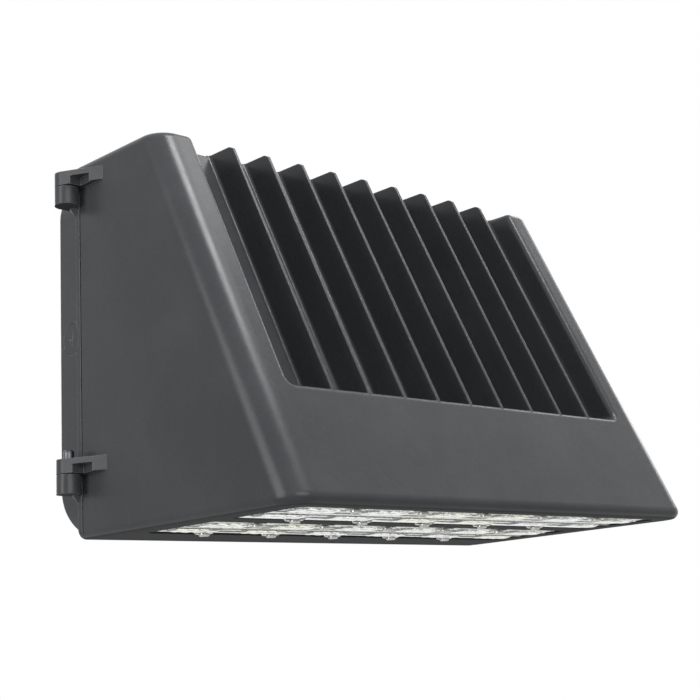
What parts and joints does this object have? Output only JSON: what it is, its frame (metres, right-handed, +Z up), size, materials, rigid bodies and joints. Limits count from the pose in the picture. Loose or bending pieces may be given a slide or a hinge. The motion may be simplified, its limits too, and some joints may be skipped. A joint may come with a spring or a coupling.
{
  "type": "wall pack light",
  "caption": "Full cut-off outdoor wall light: finned wedge housing hinged on a shallow back box, LED modules in its level underside.",
  "frame": {"origin": "centre of the supply cable's hole, in the wall plane", "axes": "+Z up, +X right as seen from the front, +Y into the wall"},
  "size_m": [0.3905, 0.227, 0.2458],
  "materials": {
    "dark_grey_powder_coat": "satin powder coat on die-cast aluminium",
    "black_silicone": "matt",
    "white_silicone": "matt",
    "clear_polycarbonate": "clear, moulded",
    "white_solder_mask": "gloss white solder mask on an aluminium board",
    "led_phosphor": "silicone over phosphor",
    "stainless_steel": "plain",
    "spring_steel": "phosphated",
    "zinc_plated_steel": "zinc plated",
    "brass_plated": "plain",
    "driver_aluminium": "satin",
    "black_nylon": "moulded",
    "grey_powder_plug": "satin powder coat",
    "natural_nylon": "moulded",
    "black_lead": "extruded",
    "white_lead": "extruded",
    "green_lead": "extruded"
  },
  "bodies": {
    "back_box": {"back_box": "dark_grey_powder_coat", "hinge_pin_upper": "stainless_steel", "hinge_pin_lower": "stainless_steel", "conduit_plug_left": "grey_powder_plug", "conduit_plug_right": "grey_powder_plug", "conduit_plug_top": "grey_powder_plug", "cable_grommet": "black_silicone", "earth_washer": "brass_plated", "earth_screw": "brass_plated"},
    "front_housing": {"front_housing": "dark_grey_powder_coat", "housing_gasket": "black_silicone", "lens_gasket_front": "white_silicone", "lens_gasket_rear": "white_silicone", "led_grommet_front": "white_silicone", "led_grommet_rear": "white_silicone", "lens_front": "clear_polycarbonate", "lens_rear": "clear_polycarbonate", "led_board_front": "white_solder_mask", "led_board_rear": "white_solder_mask", "led_chips_front": "led_phosphor", "led_chips_rear": "led_phosphor", "lens_screws_front": "stainless_steel", "lens_screws_rear": "stainless_steel", "driver_bracket": "zinc_plated_steel", "bracket_screws": "zinc_plated_steel", "driver_screws": "zinc_plated_steel", "driver_nuts": "zinc_plated_steel", "terminal_screws": "brass_plated", "driver_case": "driver_aluminium", "driver_cap_left": "black_nylon", "driver_cap_right": "black_nylon", "terminal_block": "natural_nylon", "driver_lead_live": "black_lead", "driver_lead_neutral": "white_lead", "led_cable_front": "white_lead", "led_cable_rear": "white_lead", "driver_lead_earth": "green_lead"},
    "closing_collar_upper": {"retaining_collar_upper": "spring_steel"},
    "closing_collar_lower": {"retaining_collar_lower": "spring_steel"},
    "closing_screw_upper": {"closing_screw_upper": "stainless_steel"},
    "closing_screw_lower": {"closing_screw_lower": "stainless_steel"}
  },
  "joints": [
    {"name": "housing_swing", "type": "hinge", "parent": "back_box", "child": "front_housing", "pos_m": [-0.1882, -0.027, 0], "axis": [0, 0, -1], "range_deg": [0, 100]},
    {"name": "closing_slide_upper", "type": "slide", "parent": "front_housing", "child": "closing_collar_upper", "axis": [0, -1, 0], "range_m": [0, 0.0095]},
    {"name": "closing_turn_upper", "type": "hinge", "parent": "closing_collar_upper", "child": "closing_screw_upper", "pos_m": [0.187, -0.0294, 0.094], "axis": [0, -1, 0], "range_deg": [0, 4280]},
    {"name": "closing_slide_lower", "type": "slide", "parent": "front_housing", "child": "closing_collar_lower", "axis": [0, -1, 0], "range_m": [0, 0.0095]},
    {"name": "closing_turn_lower", "type": "hinge", "parent": "closing_collar_lower", "child": "closing_screw_lower", "pos_m": [0.187, -0.0294, -0.088], "axis": [0, -1, 0], "range_deg": [0, 4280]}
  ],
  "couplings": [
    {"joint": "closing_turn_upper", "follows": "closing_slide_upper", "rad_per_m": 7854},
    {"joint": "closing_turn_lower", "follows": "closing_slide_lower", "rad_per_m": 7854}
  ]
}
